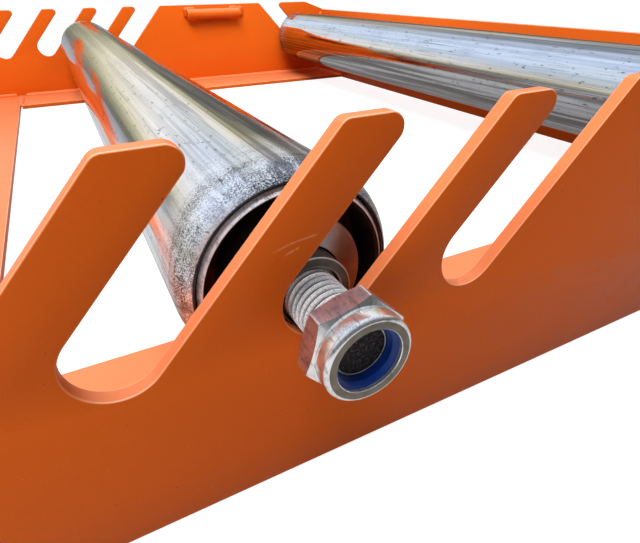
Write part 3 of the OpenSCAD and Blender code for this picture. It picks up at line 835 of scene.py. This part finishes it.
def drum():
    """Tube whose ends are domed in, with the cut edge of the mouth a little rounded."""
    dome_r = (TURN_LEN**2 + TURN_IN**2) / (2 * TURN_IN)
    reach = dome_r - TURN_IN
    outer = math.degrees(math.acos(reach / dome_r))
    inner = math.degrees(math.acos(reach / (dome_r - DRUM_WALL)))
    middle = DRUM_R - dome_r, DRUM_HALF_LEN - TURN_LEN
    end = arc(*middle, dome_r, 0, outer, DOME_STEPS)
    end += arc(*middle, dome_r - DRUM_WALL, inner, 0, DOME_STEPS // 2)
    return turned(end + [(r, -z) for r, z in reversed(end)], DRUM_STEPS, DRUM_EDGE)


def housing():
    """Pressed cup inside the drum's mouth: a sloping rim, a ring-shaped well and the bearing's hub."""
    rim_r = DRUM_R - TURN_IN - RIM_GAP
    rim_top = RIM_PROUD - DRUM_GAP
    step = -DRUM_GAP - TURN_LEN - RIM_GAP
    tube = DRUM_R - DRUM_WALL
    bore = BEARING_R + BALL_FIT
    bottom = BEARING_IN - HOUSING_T
    floor = (BEARING_R + AXLE_R) / 2 + FLOOR_HOLE_OUT + HOUSING_T / 2
    bm = turned([
        (rim_r - RIM_T, rim_top - RIM_SLOPE / 2), (rim_r - RIM_T * RIM_CREST_SHARE, rim_top),
        (rim_r, rim_top - RIM_SLOPE), (rim_r, step), (tube, step), (tube, bottom), (floor, bottom),
        (floor, BEARING_IN), (bore, BEARING_IN), (bore, HUB_TOP), (HUB_R, HUB_TOP), (HUB_R, BEARING_IN),
        (rim_r - RIM_T - WELL_TAPER, BEARING_IN),
    ], HOUSING_STEPS, HOUSING_EDGE, segments=3)
    # The rim's outer part is bright zinc; its inner side, the well and the rest get the dark finish, a
    # painted shade
    for face in bm.faces:
        centre = face.calc_center_median()
        on_rim = centre.xy.length > rim_r - RIM_T * BRIGHT_SHARE and centre.z > rim_top - RIM_SLOPE
        face.material_index = 0 if on_rim else 1
    return bm


def dust_cap():
    bore = BEARING_R + BALL_FIT
    shoulder = HUB_TOP + CAP_RIM_H
    hole = SPACER_R + CAP_HOLE_FIT
    profile = [(bore, HUB_TOP), (HUB_R, HUB_TOP)]
    profile += arc(HUB_R - CAP_T, shoulder - CAP_T, CAP_T, 0, 90, CREST_STEPS)
    profile += [
        (hole, shoulder + CAP_RISE), (hole, shoulder + CAP_RISE - CAP_T), (bore, shoulder - CAP_T),
    ]
    return turned(profile, HOUSING_STEPS, CAP_EDGE, least=35)


def spacer():
    bore = AXLE_R + BORE_FIT
    return turned([
        (bore, BEARING_OUT), (SPACER_R, BEARING_OUT), (SPACER_R, -SPACER_GAP), (bore, -SPACER_GAP),
    ], AXLE_STEPS, SPACER_EDGE, least=40, segments=3)


def thread_helix(bottom, top):
    """Open helical surface that goes past both heights. Its profile is in shares of pitch and depth."""
    bm = bmesh.new()
    depth = bm.verts.layers.float.new("depth")
    start = bottom - SPARE_TURNS * THREAD_PITCH
    verts = []
    for share, deep in THREAD_PROFILE:
        r = THREAD_R - deep * (THREAD_R - THREAD_ROOT_R)
        vert = bm.verts.new((r, 0, start + share * THREAD_PITCH))
        vert[depth] = deep
        verts.append(vert)
    edges = [bm.edges.new(pair) for pair in zip(verts, verts[1:])]
    turns = math.ceil((top - bottom) / THREAD_PITCH) + SPARE_TURNS + 1
    bmesh.ops.spin(
        bm, geom=verts + edges, cent=(0, 0, 0), axis=(0, 0, 1), dvec=(0, 0, THREAD_PITCH / THREAD_STEPS),
        angle=turns * math.tau, steps=turns * THREAD_STEPS, use_merge=False,
    )
    bmesh.ops.remove_doubles(bm, verts=bm.verts, dist=THREAD_MERGE)
    return bm, depth


def thread_end(bottom, top):
    """Threaded end from one height to another. Materials: 0 thread, 1 sawn tip, 2 chamfer and burr."""
    bm, depth = thread_helix(bottom, top)
    for height, way in ((bottom, -1), (top, 1)):
        bmesh.ops.bisect_plane(
            bm, geom=bm.verts[:] + bm.edges[:] + bm.faces[:], plane_co=(0, 0, height), plane_no=(0, 0, way),
            clear_outer=True,
        )
    for vert in bm.verts:
        most = THREAD_R - AXLE_CHAMFER + (top - vert.co.z)
        r = vert.co.xy.length
        if r > most:
            vert.co.xy *= most / r
    rim = [e for e in bm.edges if e.is_boundary]
    low_rim = [e for e in rim if e.verts[0].co.z < (top + bottom) / 2]
    burr = bmesh.ops.extrude_edge_only(bm, edges=[e for e in rim if e not in low_rim])
    inner = set(verts_of(burr))
    for vert in inner:
        vert.co.xy *= 1 - BURR_W / vert.co.xy.length
        vert.co.z = top
    for face in faces_of(burr):
        face.material_index = 2
    tip_rim = [e for e in edges_of(burr) if set(e.verts) <= inner]
    for face in faces_of(bmesh.ops.triangle_fill(bm, edges=tip_rim, use_beauty=True)):
        face.material_index = 1
    bmesh.ops.triangle_fill(bm, edges=low_rim, use_beauty=True)
    for vert in bm.verts:
        if vert.co.z > top - AXLE_CHAMFER and vert.co.xy.length > THREAD_ROOT_R:
            vert[depth] = 0
    for face in bm.faces:
        if face.material_index == 0 and face.calc_center_median().z > top - AXLE_CHAMFER / 2:
            face.material_index = 2
    return bm


def axle():
    """Plain bar with both threaded ends, along Z."""
    bm = bmesh.new()
    bar = round_bar(AXLE_R, 2 * (INNER_HALF_W - THREAD_IN), AXLE_STEPS, AXLE_EDGE, 2)
    copy_into(bm, bar)
    bar.free()
    end = thread_end(-THREAD_IN - THREAD_BURIED, PLATE_T + AXLE_OUT)
    for turn in (0, math.pi):
        copy_into(bm, end, Matrix.Rotation(turn, 4, "X") @ Matrix.Translation((0, 0, INNER_HALF_W)))
    end.free()
    return bm


def lock_nut(angle):
    """Six-sided body with chamfered faces, and a round collar turned in over the locking ring."""
    flat = NUT_AF / 2
    corner = flat / math.cos(math.pi / 6)
    edge = flat - NUT_CHAMFER / 2
    base, hex_top, top = NUT_START, NUT_START + NUT_HEX_H, NUT_START + NUT_H
    bore = THREAD_R + NUT_BORE_FIT

    def hexagon(a):
        return flat / math.cos((a % (math.pi / 3)) - math.pi / 6)

    def fall(r):
        return NUT_CHAMFER * (r - edge) / (corner - edge)

    def circle(r, z):
        return lambda a: (r, z)

    rings = [
        circle(bore, base + NUT_BORE_LEN), circle(bore, base + NUT_COUNTERSINK),
        circle(THREAD_R + NUT_COUNTERSINK, base), circle(edge, base),
        lambda a: (hexagon(a), base + fall(hexagon(a))),
        lambda a: (hexagon(a), hex_top - fall(hexagon(a))),
    ]
    rings += [circle(COLLAR_R - inwards, hex_top + height) for inwards, height in COLLAR_NECK]
    crown = arc(COLLAR_R - COLLAR_EDGE_R, top - COLLAR_EDGE_R, COLLAR_EDGE_R, 0, 90, CREST_STEPS)
    lip_r = COLLAR_LIP_R
    lip = arc(COLLAR_BORE_R + lip_r, top - lip_r, lip_r, 90, 180, CREST_STEPS // 2)
    rings += [circle(r, z) for r, z in crown + lip]
    rings += [
        circle(COLLAR_BORE_R, top - COLLAR_T + UNDERCUT_RISE),
        circle(COLLAR_BORE_R + COLLAR_UNDERCUT, top - COLLAR_T),
    ]
    bm = ring_stack(rings, AXLE_STEPS)
    bmesh.ops.recalc_face_normals(bm, faces=bm.faces)

    def hex_corner(e):
        a, b = (v.co for v in e.verts)
        upright = abs(a.z - b.z) > NUT_HEX_H / 3 and (a.xy - b.xy).length < FLAT_FIT
        return upright and a.xy.length > corner - 2 * FLAT_FIT

    soften_edges(bm, NUT_CORNER_R, least=30, keep=hex_corner)
    for face in bm.faces:
        height = face.calc_center_median().z
        if height > top - FLAT_FIT:
            face.material_index = 1
        elif height < hex_top and abs(face.normal.z) < UPRIGHT_TILT:
            face.material_index = 2
    rotate(bm, angle, "Z")
    return bm


def locking_ring():
    bottom = NUT_START + NUT_HEX_H
    step = PLATE_T + AXLE_OUT + BORE_FIT
    top = NUT_START + NUT_H - COLLAR_T
    outer = COLLAR_R - COLLAR_T
    bore = THREAD_R - LOCK_BITE
    profile = [(THREAD_R + BORE_FIT, bottom), (outer, bottom), (outer, top)]
    profile += [(bore + out, top - down) for out, down in LOCK_ENTRY]
    profile += [(bore, step), (THREAD_R + BORE_FIT, step)]
    return turned(profile, AXLE_STEPS)


def make_roller(roller):
    axle_set, drum_set = f"{roller}_axle_set", f"{roller}_drum_set"
    place = along_roller(roller)
    finish_piece(
        drum(), f"{roller}_drum_zinc", drum_set, "zinc_drum", [DRUM_ZINC[roller]],
        [f"{roller}_drum_tube"], smooth=40, place=place,
    )
    finish_piece(
        axle(), f"{roller}_axle_threaded", axle_set, "stud_steel", [THREAD_STEEL, SAWN_STEEL, RIM_ZINC],
        [f"{roller}_axle"], smooth=35, place=place,
    )
    for side, sign in SIDES.items():
        end = f"{roller}_{side}"
        cup_finish = [RIM_ZINC, WELL_PAINTED_SHADE]
        nut_finish = [NUT_ZINC, NUT_FRONT_WORN_AND_PAINTED_DARK, NUT_FLATS_PAINTED_REFLECTION]
        nut = lock_nut(-sign * NUT_ANGLE)
        for bm, name, body, slot, materials, node in (
            (housing(), "housing_pressed", drum_set, "housing_steel", cup_finish, "bearing_housing"),
            (dust_cap(), "dust_cap_pressed", drum_set, "cap_steel", [CAP_STEEL], "dust_cap"),
            (spacer(), "spacer_turned", axle_set, "bright_zinc", [SPACER_STEEL], "spacer"),
            (nut, "lock_nut_zinc", axle_set, "bright_zinc", nut_finish, "lock_nut"),
            (locking_ring(), "locking_ring_nylon", axle_set, "blue_nylon", [NYLON], "nut_insert"),
        ):
            finish_piece(
                bm, f"{end}_{name}", body, slot, materials, [f"{end}_{node}"], place=roller_end(roller, side)
            )
        for node, material in (
            ("bearing_outer_race", BEARING_STEEL), ("ball_cage", BEARING_STEEL),
            ("bearing_inner_race", BEARING_STEEL), ("retaining_ring", SPRING_STEEL),
        ):
            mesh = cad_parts[f"{end}_{node}"].data
            mesh.materials.clear()
            mesh.materials.append(material)


# Stage


def make_floor():
    """Pale floor that keeps the shadow. It is near white where it is seen, and dimmer where mirrored."""
    bm = bmesh.new()
    bmesh.ops.create_grid(bm, x_segments=1, y_segments=1, size=FLOOR_HALF)
    bmesh.ops.translate(bm, vec=(0, 0, -FLOOR_DROP), verts=bm.verts)
    mesh = bpy.data.meshes.new("floor")
    bm.to_mesh(mesh)
    bm.free()
    f = Finish("pale_floor")
    f.set(Base_Color=(FLOOR_GREY, FLOOR_GREY, FLOOR_GREY, 1), Roughness=0.95, Specular_IOR_Level=0.0)
    rays = f.add("ShaderNodeLightPath")
    glow = f.add("ShaderNodeEmission")
    seen = f.plus(rays.outputs["Is Camera Ray"], f.times(rays.outputs["Is Glossy Ray"], GLOSSY_SHARE))
    f.join(f.times(seen, FLOOR_GLOW), glow.inputs["Strength"])
    both = f.add("ShaderNodeAddShader")
    f.join(f.shader.outputs["BSDF"], both.inputs[0])
    f.join(glow.outputs["Emission"], both.inputs[1])
    f.join(both.outputs["Shader"], f.tree.nodes["Material Output"].inputs["Surface"])
    mesh.materials.append(f.material)
    floor = bpy.data.objects.new("floor", mesh)
    bpy.context.scene.collection.objects.link(floor)


def make_world():
    """Soft sky: warm and dark near the horizon, dim on the camera's side, and white where it is seen."""
    world = bpy.data.worlds.new("studio")
    bpy.context.scene.world = world
    world.use_nodes = True
    n = Nodes(world.node_tree, "Generated")
    x, y, z = n.axes()
    ramp = n.add("ShaderNodeValToRGB")
    raised_horizon = n.spread(x, RAISE_START, RAISE_FULL, 0.0, HORIZON_RISE)
    n.join(n.math("SUBTRACT", z, raised_horizon), ramp.inputs["Fac"])
    stops = ramp.color_ramp.elements
    for stop, (position, colour) in zip(stops[:], (SKY[0], SKY[-1])):
        stop.position, stop.color = position, (*colour, 1)
    for position, colour in SKY[1:-1]:
        stops.new(position).color = (*colour, 1)
    away = n.spread(n.plus(y, n.times(z, HEIGHT_WEIGHT)), DIM_FULL, DIM_START, DIM_SHARE, 1.0)
    seen = n.add("ShaderNodeLightPath").outputs["Is Camera Ray"]
    shade = n.tree.nodes["Background"]
    n.join(n.mix(seen, ramp.outputs["Color"], (1.0, 1.0, 1.0)), shade.inputs["Color"])
    n.join(n.math("MAXIMUM", away, seen), shade.inputs["Strength"])


def make_lamp(name, place, target, size, power):
    light = bpy.data.lights.new(name, "AREA")
    light.shape, light.size, light.energy = "DISK", size, power
    lamp = bpy.data.objects.new(name, light)
    lamp.location = place
    lamp.visible_glossy = False
    lamp.rotation_mode = "QUATERNION"
    lamp.rotation_quaternion = (Vector(target) - Vector(place)).to_track_quat("-Z", "Y")
    bpy.context.scene.collection.objects.link(lamp)


def make_camera():
    camera = bpy.data.cameras.new("camera")
    camera.sensor_fit, camera.sensor_width = "HORIZONTAL", SENSOR_W
    camera.lens = SENSOR_W * FOCAL_PIXELS / PICTURE_W
    camera.clip_start, camera.clip_end = CLIP_START, CLIP_END
    view = bpy.data.objects.new("camera", camera)
    turn = Matrix((CAMERA_RIGHT, CAMERA_UP, CAMERA_BACK)).transposed().to_4x4()
    view.matrix_world = Matrix.Translation(CAMERA_PLACE) @ turn
    bpy.context.scene.collection.objects.link(view)
    bpy.context.scene.camera = view


make_frame()
make_welds()
for roller in ROLLER_X:
    make_roller(roller)
make_floor()
make_world()
for lamp in LAMPS:
    make_lamp(*lamp)
make_camera()
bpy.context.scene.view_settings.view_transform = "Standard"

bpy.context.view_layer.update()
